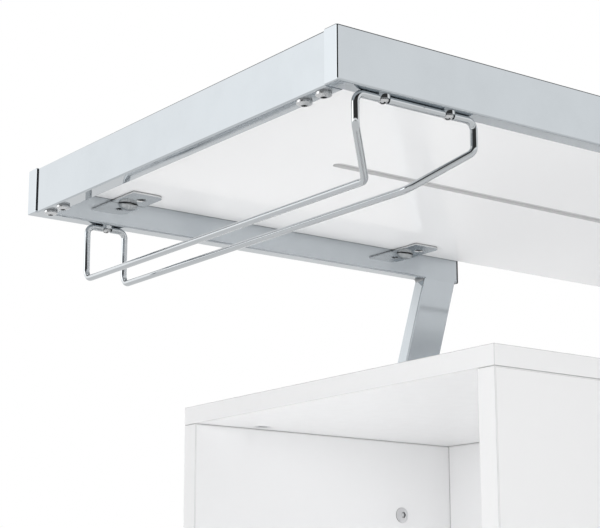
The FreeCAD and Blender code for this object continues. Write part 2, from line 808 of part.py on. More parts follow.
def make_feet():
    """A plug in each leg end, with a levelling foot whose stem screws into it."""
    stem_x = leg_middle("leg_underside + foot_plug_core / 2")
    plate = tube_cap("foot_plate", "XY_Plane", "tube_height * leg_stretch", "tube_thickness",
                     "foot_plug_plate")
    put(plate, leg_middle("leg_underside"), "tube_middle", "plug_underside")
    body = doc.addObject("PartDesign::Body", "foot_core")
    section = new_sketch(body, "foot_core_section", "XY_Plane")
    rectangle(section, "core", "core_height * leg_stretch", "core_thickness")
    leaning_pad(body, "foot_core_length", section, "foot_plug_core")
    put(body, leg_middle("leg_underside"), "tube_middle", "leg_underside")
    hole = cylinder("foot_hole", "stem_radius + stem_clearance",
                    "foot_plug_plate + foot_plug_core + 2 * run_out",
                    stem_x, "tube_middle", "plug_underside - run_out")
    four_corners("foot_plugs", cut("foot_plug", fuse("foot_plug_solid", plate, body), hole))
    flange = cylinder("pad_flange", "foot_pad_radius", "foot_pad_height")
    nut = hexagon("pad_nut", "foot_hex_radius", "foot_hex_height", z="foot_pad_height")
    seat = cylinder("pad_seat", "stem_radius", "foot_hex_height + stem_seat",
                    z="foot_pad_height + foot_hex_height - stem_seat")
    foot = cut("foot_pad", fuse("foot_pad_solid", flange, nut), seat)
    four_sub_parts(put(foot, stem_x, "tube_middle"), "levelling_foot")
    stem = cylinder("foot_stem", "stem_radius", "stem_length",
                    stem_x, "tube_middle", "foot_pad_height + foot_hex_height - stem_seat")
    four_sub_parts(stem, "levelling_stem")


# Cabinet


def disc_places(side):
    """X of the connector discs in a left quarter; on the far side the inner one is in the niche."""
    return "left_end + outer_disc_setback", f"left_end + {side}_inner_disc_setback"


def side_panel_cutters(name, side):
    """Everything drilled into the left half of a long side panel, drawn at the near side."""
    cutters = []
    for height in ("upper_bolt_height", "lower_bolt_height"):
        hole = cylinder(f"{name}_{height}", "bolt_radius + bolt_gap", "side_thickness + 2 * run_out",
                        bolt_place(height), "cabinet_near - run_out", height, "y")
        cutters.append(hole)
    for x in ("cabinet_left + pin_inset", "divider_left - pin_inset"):
        for step in (-1, 0, 1):
            hole = cylinder(f"{name}_pin_hole_{len(cutters)}", "pin_radius + plug_gap / 2",
                            "pin_seat + 2 * run_out", x, "side_inner_face - pin_seat",
                            f"end_shelf_height - pin_radius + {step} * hole_pitch", "y")
            cutters.append(hole)
    for x in disc_places(side):
        for base in ("lid_underside - draw_bolt_drop - run_out", "base_top - run_out"):
            hole = cylinder(f"{name}_bolt_hole_{len(cutters)}", "draw_bolt_radius + fitting_gap",
                            "draw_bolt_drop + 2 * run_out", x, "side_middle", base)
            cutters.append(hole)
    half = "dowel_length / 2"
    for x in dowel_places():
        for base in (f"lid_underside - {half}", "base_top - run_out"):
            hole = cylinder(f"{name}_dowel_hole_{len(cutters)}", "dowel_radius + fitting_gap / 2",
                            f"{half} + run_out", x, "side_middle", base)
            cutters.append(hole)
    for height in divider_dowel_heights():
        hole = cylinder(f"{name}_divider_hole_{len(cutters)}", "dowel_radius + fitting_gap / 2",
                        "side_thickness / 2 + run_out", "divider_middle", "side_middle", height, "y")
        cutters.append(hole)
    return cutters


def dowel_places():
    return ("cabinet_left + dowel_length", "(cabinet_left + divider_left) / 2")


def divider_dowel_heights():
    return ("base_top + panel_height / 4", "base_top + panel_height * 3 / 4")


def make_side_panels():
    """One long panel on the far side; on the near side two short ones with the niche between."""
    far = panel("far_panel", "-2 * (cabinet_left)", "side_thickness", "panel_height",
                "cabinet_left", "-(cabinet_near) - side_thickness", "base_top")
    left = [mirror(tool, "y", f"far_cutter_{number}") for number, tool
            in enumerate(side_panel_cutters("far_panel", "far"))]
    right = [mirror(tool, "x", f"far_cutter_right_{number}") for number, tool in enumerate(left)]
    sub_part(cut("far_panel_drilled", far, *left, *right), "side_panel_far")
    near = panel("near_panel", "end_compartment + divider_thickness", "side_thickness", "panel_height",
                 "cabinet_left", "cabinet_near", "base_top")
    cutters = side_panel_cutters("near_panel", "near")
    two_sub_parts(cut("near_panel_drilled", near, *cutters), "side_panel_near")


def flat_panel_cutters(name, side, middle, disc_base, dowel_base, bolt_base):
    """Everything let into the left half of the lid or the base, drawn at the near side."""
    cutters = []
    for x in disc_places(side):
        disc = cylinder(f"{name}_disc_{len(cutters)}", "disc_radius + fitting_gap", "disc_depth + run_out",
                        x, "side_middle + disc_setback", disc_base)
        across = cylinder(f"{name}_across_{len(cutters)}", "draw_bolt_radius + fitting_gap",
                          "disc_setback", x, "side_middle - draw_bolt_radius / 2", middle, "y")
        down = cylinder(f"{name}_down_{len(cutters)}", "draw_bolt_radius + fitting_gap",
                        "lid_thickness / 2 + draw_bolt_radius / 2 + run_out", x, "side_middle", bolt_base)
        cutters.append(fuse(f"{name}_disc_space_{len(cutters)}", disc, across, down))
    for x in dowel_places():
        hole = cylinder(f"{name}_dowel_{len(cutters)}", "dowel_radius + fitting_gap / 2",
                        "lid_thickness / 2 + run_out", x, "side_middle", dowel_base)
        cutters.append(hole)
    hole = cylinder(f"{name}_divider_dowel", "dowel_radius + fitting_gap / 2", "lid_thickness / 2 + run_out",
                    "divider_middle", "cabinet_near / 2", dowel_base)
    cutters.append(hole)
    return cutters


def make_lid_and_base():
    """Flat panels over and under the upright ones, flush with them outside."""
    heights = {
        "lid": ("lid_underside + lid_thickness / 2", "lid_underside - run_out",
                "lid_underside - run_out", "lid_underside - run_out"),
        "base": ("base_top - base_thickness / 2", "base_top - disc_depth",
                 "base_top - base_thickness / 2", "base_top - base_thickness / 2 - draw_bolt_radius / 2"),
    }
    blanks = {
        "lid": ("cabinet_top_panel", "lid_thickness", "lid_underside"),
        "base": ("cabinet_bottom_panel", "base_thickness", "cabinet_floor_height"),
    }
    for name, (label, thickness, underside) in blanks.items():
        blank = panel(name + "_blank", "-2 * (cabinet_left)", "cabinet_depth", thickness,
                      "cabinet_left", "cabinet_near", underside)
        left = flat_panel_cutters(name + "_near", "near", *heights[name])
        far = flat_panel_cutters(name + "_far", "far", *heights[name])
        left += [mirror(tool, "y", f"{name}_far_copy_{number}") for number, tool in enumerate(far)]
        right = [mirror(tool, "x", f"{name}_right_copy_{number}") for number, tool in enumerate(left)]
        sub_part(cut(name + "_drilled", blank, *left, *right), label)


def make_dividers():
    """Back panels of the two end compartments, which close the niche left and right."""
    blank = panel("divider_blank", "divider_thickness", "-2 * (side_inner_face)", "panel_height",
                  "divider_left", "side_inner_face", "base_top")
    cutters = []
    for height in ("lower_niche_shelf_height", "upper_niche_shelf_height"):
        for step in (-1, 0, 1):
            hole = cylinder(f"niche_hole_{len(cutters)}", "pin_radius + plug_gap / 2",
                            "pin_seat + 2 * run_out", "niche_left - pin_seat",
                            "side_inner_face + niche_pin_inset",
                            f"{height} - pin_radius + {step} * hole_pitch", "x")
            cutters.append(hole)
    half = "dowel_length / 2"
    for base in (f"lid_underside - ({half})", "base_top - run_out"):
        hole = cylinder(f"divider_edge_{len(cutters)}", "dowel_radius + fitting_gap / 2", f"{half} + run_out",
                        "divider_middle", "cabinet_near / 2", base)
        cutters.append(hole)
    for height in divider_dowel_heights():
        hole = cylinder(f"divider_end_{len(cutters)}", "dowel_radius + fitting_gap / 2",
                        "dowel_length - side_thickness / 2 + run_out", "divider_middle",
                        "side_inner_face - run_out", height, "y")
        cutters.append(hole)
    both = cutters + [mirror(tool, "y", f"divider_cutter_{number}") for number, tool in enumerate(cutters)]
    two_sub_parts(cut("divider_drilled", blank, *both), "divider")


def make_shelves():
    """Loose shelves that lie on pins: one in each end compartment and two in the niche."""
    end_shelf = panel("end_shelf", "end_compartment - shelf_setback - shelf_gap",
                      "-2 * (side_inner_face + shelf_gap)", "shelf_thickness",
                      "cabinet_left + shelf_setback", "side_inner_face + shelf_gap", "end_shelf_height")
    two_sub_parts(end_shelf, "end_shelf")
    for name in ("lower", "upper"):
        shelf = panel(name + "_shelf", "-2 * (niche_left + shelf_gap)",
                      "cabinet_depth - side_thickness - shelf_setback - shelf_gap", "shelf_thickness",
                      "niche_left + shelf_gap", "cabinet_near + shelf_setback", f"{name}_niche_shelf_height")
        sub_part(shelf, f"niche_shelf_{name}")


def shelf_pin(name, towards):
    """A pin with a collar that rests on the panel's face, drawn from that face."""
    pin = cylinder(name + "_pin", "pin_radius", "pin_seat + pin_reach", z="-pin_seat")
    collar = cylinder(name + "_collar", "pin_collar_radius", "pin_collar")
    level = box(name + "_level", "4 * pin_collar_radius", "2 * pin_collar_radius", "pin_collar + 2 * run_out",
                "pin_radius", "-pin_collar_radius", "-run_out")
    solid = cut(name, fuse(name + "_solid", pin, collar), level)
    sideways = {"x": Vector(0, -1, 0), "y": Vector(1, 0, 0)}[towards]
    outward = {"x": Vector(1, 0, 0), "y": Vector(0, 1, 0)}[towards]
    upright = FreeCAD.Rotation(Vector(0, 0, 1), sideways, outward, "ZXY")
    solid.Placement = FreeCAD.Placement(Vector(), upright)
    return solid


def make_shelf_pins():
    pins = []
    for x in ("cabinet_left + pin_inset", "divider_left - pin_inset"):
        pin = shelf_pin(f"shelf_pin_{len(pins)}", "y")
        pins.append(put(pin, x, "side_inner_face", "end_shelf_height - pin_radius"))
    for height in ("lower_niche_shelf_height", "upper_niche_shelf_height"):
        pin = shelf_pin(f"shelf_pin_{len(pins)}", "x")
        pins.append(put(pin, "niche_left", "side_inner_face + niche_pin_inset", f"{height} - pin_radius"))
    four_corners("shelf_pins", *pins)


def make_connectors():
    """Discs let into the lid and base, with draw bolts that go down into the side panels."""
    discs = []
    bolts = []
    faces = {
        "lid_underside": ("lid_underside", "lid_underside + lid_thickness / 2",
                          "lid_underside - draw_bolt_drop"),
        "base_top": ("base_top - disc_depth", "base_top - base_thickness / 2",
                     "base_top - base_thickness / 2"),
    }
    for side in ("near", "far"):
        for x in disc_places(side):
            for face, (disc_base, bolt_z, leg_base) in faces.items():
                name = f"connector_{len(discs)}"
                disc = cylinder(name + "_disc", "disc_radius", "disc_depth",
                                x, "side_middle + disc_setback", disc_base)
                slot = box(name + "_slot", "disc_slot_length", "disc_slot_width", "2 * disc_slot_depth",
                           f"{x} - disc_slot_length / 2",
                           "side_middle + disc_setback - disc_slot_width / 2", f"{face} - disc_slot_depth")
                groove = cylinder(name + "_socket", "draw_bolt_radius + fitting_gap", "disc_radius",
                                  x, "side_middle + disc_setback - disc_radius - run_out", bolt_z, "y")
                across = cylinder(name + "_across", "draw_bolt_radius",
                                  "disc_setback - draw_bolt_end_gap", x, "side_middle", bolt_z, "y")
                down = cylinder(name + "_down", "draw_bolt_radius", "draw_bolt_drop + lid_thickness / 2",
                                x, "side_middle", leg_base)
                pair = [cut(name, disc, slot, groove), fuse(name + "_bolt", across, down)]
                if side == "far":
                    pair = [mirror(thing, "y", thing.Name + "_at_far") for thing in pair]
                discs.append(pair[0])
                bolts.append(pair[1])
    both_ends("connector_discs", *discs)
    both_ends("draw_bolts", *bolts)


def make_dowels():
    dowels = []
    half = "dowel_length / 2 + lid_thickness / 2 - 2 * dowel_end_gap"
    bases = ("lid_underside - dowel_length / 2 + dowel_end_gap",
             "base_top - lid_thickness / 2 + dowel_end_gap")
    for x in dowel_places():
        for base in bases:
            dowels.append(cylinder(f"dowel_{len(dowels)}", "dowel_radius", half, x, "side_middle", base))
    for base in bases:
        dowels.append(cylinder(f"dowel_{len(dowels)}", "dowel_radius", half, "divider_middle",
                               "cabinet_near / 2", base))
    for height in divider_dowel_heights():
        dowels.append(cylinder(f"dowel_{len(dowels)}", "dowel_radius", "dowel_length - dowel_end_gap",
                               "divider_middle", "side_middle", height, "y"))
    four_corners("panel_dowels", *dowels)


def make_leg_bolts():
    """Bolts from inside the cabinet through its side, a spacer and the leg's wall into a nut."""
    bolts = []
    spacers = []
    nuts = []
    reach = "side_inner_face - (arm_inner_face) + tube_wall + nut_height"
    for height in ("upper_bolt_height", "lower_bolt_height"):
        name = "leg_" + height
        x = bolt_place(height)
        bolt = round_head_screw(name, "bolt_head_radius", "bolt_head_height", "bolt_head_side",
                                "bolt_radius", reach)
        turn(bolt, Vector(1, 0, 0), 90)
        bolts.append(put(bolt, x, "side_inner_face", height))
        gap = "cabinet_near - (arm_inner_face)"
        ring = cylinder(name + "_ring", "spacer_radius", gap, x, "arm_inner_face", height, "y")
        ring_hole = cylinder(name + "_ring_hole", "bolt_radius + bolt_gap", f"{gap} + 2 * run_out",
                             x, "arm_inner_face - run_out", height, "y")
        spacers.append(cut(name + "_spacer", ring, ring_hole))
        base = "arm_inner_face - tube_wall - nut_height"
        nut = hexagon(name + "_nut", "nut_radius", "nut_height", x, base, height, "y")
        thread = cylinder(name + "_thread", "bolt_radius + plug_gap / 2", "nut_height + 2 * run_out",
                          x, f"{base} - run_out", height, "y")
        nuts.append(cut(name + "_threaded", nut, thread))
    four_corners("leg_bolts", *bolts)
    four_corners("leg_spacers", *spacers)
    four_corners("leg_nuts", *nuts)


def check_and_export():
    doc.recompute()
    for thing in doc.Objects:
        if "Invalid" in thing.State or "Error" in thing.State:
            raise ValueError(f"{thing.Name} failed: {thing.State}")
    labels = [thing.Label for thing in sub_parts]
    if len(set(labels)) != len(labels):
        raise ValueError("two sub-parts share a name")
    os.makedirs("parts", exist_ok=True)
    for thing in sub_parts:
        if thing.Shape.isNull() or not thing.Shape.isValid():
            raise ValueError(f"{thing.Label} has no valid shape")
        thing.Shape.exportStep(f"parts/{thing.Label}.step")
        print(thing.Label, len(thing.Shape.Solids), "solids", round(thing.Shape.Volume / 1000, 1), "cm3")
    print(len(sub_parts), "sub-parts")


make_board()
make_arms()
make_legs()
make_end_rails()
make_rail_joints()
make_plugs()
make_tabs()
make_rack()
make_rack_screws()
make_feet()
make_side_panels()
make_lid_and_base()
make_dividers()
make_shelves()
make_shelf_pins()
make_connectors()
make_dowels()
make_leg_bolts()
check_and_export()
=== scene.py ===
import json
import math
import random

import bmesh
import bpy
from mathutils import Matrix, Vector


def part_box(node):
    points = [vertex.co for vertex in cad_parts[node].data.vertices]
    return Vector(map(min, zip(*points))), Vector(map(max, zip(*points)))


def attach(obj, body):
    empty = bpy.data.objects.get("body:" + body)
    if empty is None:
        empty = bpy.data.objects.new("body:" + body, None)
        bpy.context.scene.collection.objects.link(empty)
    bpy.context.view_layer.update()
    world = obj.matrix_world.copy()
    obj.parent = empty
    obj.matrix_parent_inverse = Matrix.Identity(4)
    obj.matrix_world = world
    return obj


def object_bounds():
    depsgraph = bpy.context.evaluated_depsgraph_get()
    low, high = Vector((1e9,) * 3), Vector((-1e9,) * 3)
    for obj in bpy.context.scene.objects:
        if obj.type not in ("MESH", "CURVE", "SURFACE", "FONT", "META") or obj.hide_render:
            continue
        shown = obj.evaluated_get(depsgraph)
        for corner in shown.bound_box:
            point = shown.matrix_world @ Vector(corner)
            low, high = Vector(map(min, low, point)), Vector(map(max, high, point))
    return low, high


# A bar table on chromed legs with a white open cabinet between them, and a wire rack under one end.
# Sizes are in metres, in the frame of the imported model: X along the bar, Y to the far side, Z up.

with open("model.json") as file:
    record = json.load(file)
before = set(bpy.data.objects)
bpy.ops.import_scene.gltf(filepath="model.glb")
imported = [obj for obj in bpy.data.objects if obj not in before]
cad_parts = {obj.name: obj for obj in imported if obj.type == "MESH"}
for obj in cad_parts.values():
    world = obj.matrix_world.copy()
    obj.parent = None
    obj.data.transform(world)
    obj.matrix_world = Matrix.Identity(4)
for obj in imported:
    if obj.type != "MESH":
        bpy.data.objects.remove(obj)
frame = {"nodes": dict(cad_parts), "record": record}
cad_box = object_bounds()
lowest, highest = cad_box
BODY = "table"
MM = 0.001


# Sizes of the tube frame, from the model's box

TUBE_HEIGHT = 40 * MM
TUBE_THICKNESS = 15 * MM
TUBE_CORNER = 1.5 * MM
TAB_THICKNESS = 2 * MM
ROD_RADIUS = 2.8 * MM
ARM_UNDERSIDE = highest.z - TUBE_HEIGHT
ARM_OUTER_FACE = highest.y
ARM_INNER_FACE = highest.y - TUBE_THICKNESS
LEG_TOP = highest.x - 464 * MM
LEG_FOOT = highest.x - 168 * MM
LEG_SLOPE = (LEG_FOOT - LEG_TOP) / ARM_UNDERSIDE
LEG_HALF_WIDTH = TUBE_HEIGHT / 2 * math.sqrt(1 + LEG_SLOPE ** 2)


# Camera, at the photograph's place

PHOTO_WIDTH = 600
FOCAL_PIXELS = 1647.6
SENSOR_WIDTH = 36
SIGHT_LENGTH = 100
CAMERA_PLACE = Vector((-1.2429, -1.0368, 0.6440))
CAMERA_TURN = 0.6390
CAMERA_RISE = 0.2279
CAMERA_ROLL = -0.0017


def make_camera():
    view = bpy.data.cameras.new("view")
    view.sensor_width = SENSOR_WIDTH
    view.lens = FOCAL_PIXELS * SENSOR_WIDTH / PHOTO_WIDTH
    view.clip_end = SIGHT_LENGTH
    camera = bpy.data.objects.new("camera", view)
    turned = Matrix.Rotation(-CAMERA_TURN, 4, "Z")
    raised = Matrix.Rotation(math.pi / 2 + CAMERA_RISE, 4, "X")
    rolled = Matrix.Rotation(CAMERA_ROLL, 4, "Z")
    camera.matrix_world = Matrix.Translation(CAMERA_PLACE) @ turned @ raised @ rolled
    bpy.context.scene.collection.objects.link(camera)
    bpy.context.scene.camera = camera


# Helpers for node trees


def feed(tree, node, sockets):
    """Gives a node's sockets their values, each a number or colour or another node's output."""
    for name, value in sockets.items():
        if isinstance(value, bpy.types.NodeSocket):
            tree.links.new(value, node.inputs[name])
        else:
            node.inputs[name].default_value = value


def add(tree, kind, sockets=None, **settings):
    made = tree.nodes.new(kind)
    for name, value in settings.items():
        setattr(made, name, value)
    feed(tree, made, sockets or {})
    return made


def maths(tree, operation, first, second=0.0):
    return add(tree, "ShaderNodeMath", {0: first, 1: second}, operation=operation).outputs[0]


def plus(tree, first, second):
    return maths(tree, "ADD", first, second)


def minus(tree, first, second):
    return maths(tree, "SUBTRACT", first, second)


def times(tree, first, second):
    return maths(tree, "MULTIPLY", first, second)


def size_of(tree, value):
    return maths(tree, "ABSOLUTE", value)


def rise(tree, value, low, high):
    """0 below low and 1 above high, with a soft rise between them."""
    sockets = {"Value": value, "From Min": low, "From Max": high}
    made = add(tree, "ShaderNodeMapRange", sockets, interpolation_type="SMOOTHSTEP")
    return made.outputs["Result"]


def fall(tree, value, low, high):
    """1 below low and 0 above high, with a soft fall between them."""
    return minus(tree, 1, rise(tree, value, low, high))


def ramp(tree, value, low, high, bottom, top):
    """A straight run from bottom to top while the value goes from low to high."""
    sockets = {"Value": value, "From Min": low, "From Max": high, "To Min": bottom, "To Max": top}
    return add(tree, "ShaderNodeMapRange", sockets).outputs["Result"]


def between(tree, share, bottom, top):
    """Bottom where the share is 0 and top where it is 1."""
    return ramp(tree, share, 0, 1, bottom, top)


def mix_colours(tree, share, first, second):
    made = add(tree, "ShaderNodeMix", {0: share, 6: first, 7: second}, data_type="RGBA")
    return made.outputs[2]


def mix_numbers(tree, share, first, second):
    made = add(tree, "ShaderNodeMix", {0: share, 2: first, 3: second}, data_type="FLOAT")
    return made.outputs[0]


def mix_shaders(tree, share, first, second):
    return add(tree, "ShaderNodeMixShader", {0: share, 1: first, 2: second}).outputs[0]


def noise(tree, place, scale, detail, roughness):
    sockets = {"Vector": place, "Scale": scale, "Detail": detail, "Roughness": roughness}
    return add(tree, "ShaderNodeTexNoise", sockets).outputs["Fac"]


def squeezed(tree, place, scale):
    return add(tree, "ShaderNodeMapping", {"Vector": place, "Scale": scale}).outputs["Vector"]


def bumped(tree, height, distance, strength, normal=None):
    sockets = {"Height": height, "Distance": distance, "Strength": strength}
    if normal:
        sockets["Normal"] = normal
    return add(tree, "ShaderNodeBump", sockets).outputs["Normal"]


# its result paints shade into colours, in crevices and recesses
def openness(tree, reach, samples):
    """1 on an open face, down to 0 where other faces close in within reach."""
    made = add(tree, "ShaderNodeAmbientOcclusion", {"Distance": reach}, samples=samples)
    return made.outputs["AO"]


def split(tree, vector):
    return add(tree, "ShaderNodeSeparateXYZ", {0: vector}).outputs


def level_direction(tree, x, y):
    """The way from the middle to a point, without its height."""
    flat = add(tree, "ShaderNodeCombineXYZ", {0: x, 1: y, 2: 0.0}).outputs[0]
    return add(tree, "ShaderNodeVectorMath", {0: flat}, operation="NORMALIZE").outputs["Vector"]


def towards(tree, level, direction):
    """How far a level direction points the same way as another, from -1 to 1."""
    sockets = {0: level, 1: direction}
    return add(tree, "ShaderNodeVectorMath", sockets, operation="DOT_PRODUCT").outputs["Value"]


def glow_of(tree, strength):
    sockets = {"Color": (1, 1, 1, 1), "Strength": strength}
    return add(tree, "ShaderNodeEmission", sockets).outputs[0]


def colour(red, green, blue):
    """A colour given as screen values from 0 to 255, as the shader wants it."""
    def linear(value):
        value = value / 255
        return value / 12.92 if value <= 0.04045 else ((value + 0.055) / 1.055) ** 2.4
    return (linear(red), linear(green), linear(blue), 1)


def darker(tint, share):
    return [value * share for value in tint[:3]] + [1]


def new_material(name):
    material = bpy.data.materials.new(name)
    material.use_nodes = True
    tree = material.node_tree
    shader = tree.nodes["Principled BSDF"]
    place = add(tree, "ShaderNodeTexCoord").outputs["Object"]
    return material, tree, shader, place


# Noise patterns, each as its scale, detail and roughness

SMUDGES = (23, 4, 0.6)
SLOW_WAVES = (14, 1, 0.4)
HAIRLINES = (1.0, 3, 0.55)
LACQUER_CLOUDS = (3, 2, 0.5)
GRIME = (90, 4, 0.65)
ORANGE_PEEL = (420, 2, 0.5)
TURNING_MARKS = (1400, 3, 0.6)
ROLLING_MARKS = (1.0, 3, 0.6)
PLATE_CLOUDS = (60, 3, 0.6)
ERODED_MOULD = (2200, 2, 0.5)
SCUFFS = (1.0, 4, 0.7)
WOOD_GRAIN = (1.0, 4, 0.6)
FLOOR_CLOUDS = (1.5, 3, 0.5)
ROOM_DRIFT = (2.2, 1, 0.4)

# Squeezes along X, Y and Z that draw a pattern out into lines

HAIRLINE_SQUEEZE = (40, 900, 900)
ROLLING_SQUEEZE = (60, 1200, 200)
SCUFF_SQUEEZE = (300, 300, 90)
GRAIN_SQUEEZE = (900, 900, 60)

# Finishes: base colours, how dark the painted shade on edges and in crevices goes, and how gloss
# differs between the boards

CHROME_TINT = (0.535, 0.570, 0.597, 1)
ROD_TINT = (0.555, 0.580, 0.598, 1)
TAB_TINT = (0.76, 0.77, 0.775, 1)
STEEL_TINT = (0.66, 0.67, 0.68, 1)
ZINC_TINT = (0.60, 0.61, 0.62, 1)
# painted shade: the leg fillets are dark to stand in for the shade in the corner under each arm
SHADED_WELD_TINT = (0.30, 0.31, 0.32, 1)
BEAD_TINT = (0.58, 0.60, 0.61, 1)
BLACK_PLASTIC = colour(38, 40, 43)
PALE_BEECH = colour(214, 184, 140)
DARK_BEECH = colour(178, 140, 96)
WHITE = (0.905, 0.907, 0.912, 1)
EDGE_SHADE = 0.72
JOINT_SHADE = 0.55
JOINT_REACH = 1.1 * MM
BAND_THICKNESS = 1.1 * MM
LEG_SATIN = 0.2
SATIN_STARTS = ARM_UNDERSIDE - 5 * MM
SATIN_FULL = ARM_UNDERSIDE - 110 * MM
TOP_GLOSS = {"gloss": 0.12, "level": 0.14}
CABINET_GLOSS = {"gloss": 0.2, "level": 0.2}
OWN_FINISHES = {
    "leg_bolts": ((0.80, 0.80, 0.81, 1), 0.3),
    # painted shade: the tab screws are near black to stand in for the shadow in their sunk holes
    "tab_screws": ((0.15, 0.155, 0.16, 1), 0.45),
}


def chrome(name, tint, gloss, waviness, satin=0.0):
    """Chrome plate over drawn tube: soft smudges, polishing lines and a slightly wavy face.

    With satin, the plate is rubbed duller by that much, from a little below the arms downwards.
    """
    material, tree, shader, place = new_material(name)
    smudge = noise(tree, place, *SMUDGES)
    hairline = noise(tree, squeezed(tree, place, HAIRLINE_SQUEEZE), *HAIRLINES)
    rough = ramp(tree, times(tree, hairline, smudge), 0.1, 0.5, gloss, gloss * 2.2)
    if satin:
        rubbed = fall(tree, split(tree, place)[2], SATIN_FULL, SATIN_STARTS)
        rough = plus(tree, rough, times(tree, rubbed, satin))
    wave = bumped(tree, noise(tree, place, *SLOW_WAVES), 0.02, waviness)
    feed(tree, shader, {
        "Base Color": mix_colours(tree, rise(tree, smudge, 0.35, 0.75), tint, darker(tint, 0.965)),
        "Roughness": rough,
        "Normal": bumped(tree, hairline, 0.00002, 0.25, wave),
        "Metallic": 1,
    })
    return material


def least(tree, values):
    smallest = values[0]
    for other in values[1:]:
        smallest = maths(tree, "MINIMUM", smallest, other)
    return smallest


def lacquer(name, node, gloss, level):
    """White board: smooth lacquer, banded rims with a fine joint line, painted shade on eased edges and
    in crevices, faint wear.
    """
    material, tree, shader, place = new_material(name)
    low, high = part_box(node)
    size = high - low
    thin = min(range(3), key=lambda axis: size[axis])
    parts = split(tree, place)
    depths = []
    for axis in range(3):
        depths.append((minus(tree, parts[axis], low[axis]), minus(tree, high[axis], parts[axis])))
    rim = least(tree, [depth for axis in range(3) if axis != thin for depth in depths[axis]])
    skin = least(tree, depths[thin])
    cloud = noise(tree, place, *LACQUER_CLOUDS)
    grime = noise(tree, place, *GRIME)
    shade = mix_colours(tree, rise(tree, cloud, 0.3, 0.75), WHITE, darker(WHITE, 0.995))
    # faint wear along the rims
    near_rim = fall(tree, rim, 0.5 * MM, 5 * MM)
    worn = times(tree, near_rim, rise(tree, grime, 0.55, 0.85))
    worn_tint = [WHITE[0] * 0.86, WHITE[1] * 0.85, WHITE[2] * 0.82, 1]
    shade = mix_colours(tree, times(tree, worn, 0.2), shade, worn_tint)
    # the joint between the edge band and the face
    off_line = size_of(tree, minus(tree, rim, BAND_THICKNESS))
    joint = fall(tree, off_line, 0.1 * MM, 0.3 * MM)
    shade = mix_colours(tree, times(tree, joint, 0.5), shade, darker(WHITE, 0.5))
    # painted shade on the eased edges, and painted shade in the crevices
    edge_shading = rise(tree, least(tree, [rim, skin]), 0.02 * MM, 0.12 * MM)
    shade = mix_colours(tree, edge_shading, shade, darker(WHITE, EDGE_SHADE))
    # painted shade: the colour darkens in crevices and where panels meet
    unshaded = rise(tree, openness(tree, JOINT_REACH, 12), 0.25, 0.75)
    shade = mix_colours(tree, unshaded, darker(WHITE, JOINT_SHADE), shade)
    feed(tree, shader, {
        "Base Color": shade,
        "Roughness": ramp(tree, grime, 0.3, 0.8, gloss, gloss * 1.12),
        "Normal": bumped(tree, noise(tree, place, *ORANGE_PEEL), 0.0002, 0.015),
        "Specular IOR Level": level,
    })
    return material


def plated_steel(name, tint, gloss):
    """Small turned and pressed steel parts: painted shade in their recesses, with fine turning marks.
    """
    material, tree, shader, place = new_material(name)
    grain = noise(tree, place, *TURNING_MARKS)
    # painted shade: the colour goes down to a tenth in recesses
    unshaded = rise(tree, openness(tree, 2.5 * MM, 8), 0.3, 0.95)
    shade = mix_colours(tree, unshaded, darker(tint, 0.1), tint)
    feed(tree, shader, {
        "Base Color": mix_colours(tree, times(tree, grain, 0.18), shade, darker(tint, 0.7)),
        "Roughness": ramp(tree, grain, 0.3, 0.75, gloss, gloss * 1.9),
        "Normal": bumped(tree, grain, 0.00005, 0.12),
        "Metallic": 1,
    })
    return material


def tab_plate(name, tint):
    """Chromed plate metal of the tabs, with fine rolling marks and painted shade in the holes and at
    the weld.
    """
    material, tree, shader, place = new_material(name)
    rolled = noise(tree, squeezed(tree, place, ROLLING_SQUEEZE), *ROLLING_MARKS)
    cloud = noise(tree, place, *PLATE_CLOUDS)
    shade = mix_colours(tree, rise(tree, cloud, 0.35, 0.7), tint, darker(tint, 0.9))
    # painted shade: the colour goes down to a quarter in the holes and at the weld
    unshaded = rise(tree, openness(tree, 2 * MM, 8), 0.55, 0.95)
    feed(tree, shader, {
        "Base Color": mix_colours(tree, unshaded, darker(tint, 0.25), shade),
        "Roughness": ramp(tree, rolled, 0.3, 0.7, 0.06, 0.13),
        "Normal": bumped(tree, rolled, 0.00005, 0.12),
        "Metallic": 1,
    })
    return material


def moulded(name, tint, gloss, coat):
    """Moulded plastic with a fine eroded texture and a few scuffs."""
    material, tree, shader, place = new_material(name)
    texture = noise(tree, place, *ERODED_MOULD)
    scuff = noise(tree, squeezed(tree, place, SCUFF_SQUEEZE), *SCUFFS)
    scuffed_tint = [value * 0.9 + 0.01 for value in tint[:3]] + [1]
    feed(tree, shader, {
        "Base Color": mix_colours(tree, rise(tree, scuff, 0.5, 0.8), tint, scuffed_tint),
        "Roughness": ramp(tree, scuff, 0.35, 0.7, gloss, gloss * 1.6),
        "Normal": bumped(tree, texture, 0.00003, 0.3),
        "Coat Weight": coat,
        "Coat Roughness": 0.08,
    })
    return material


def beech(name):
    """Pale dowel wood with its grain along the pin."""
    material, tree, shader, place = new_material(name)
    grain = noise(tree, squeezed(tree, place, GRAIN_SQUEEZE), *WOOD_GRAIN)
    feed(tree, shader, {
        "Base Color": mix_colours(tree, grain, PALE_BEECH, DARK_BEECH),
        "Roughness": ramp(tree, grain, 0.2, 0.8, 0.5, 0.7),
        "Normal": bumped(tree, grain, 0.0001, 0.3),
    })
    return material


def flatten_normals(thing):
    """Keeps the shading of the flat faces flat beside their eased edges."""
    flatter = thing.modifiers.new("flatter", "WEIGHTED_NORMAL")
    flatter.mode = "FACE_AREA"
    flatter.weight = 100
    flatter.keep_sharp = True


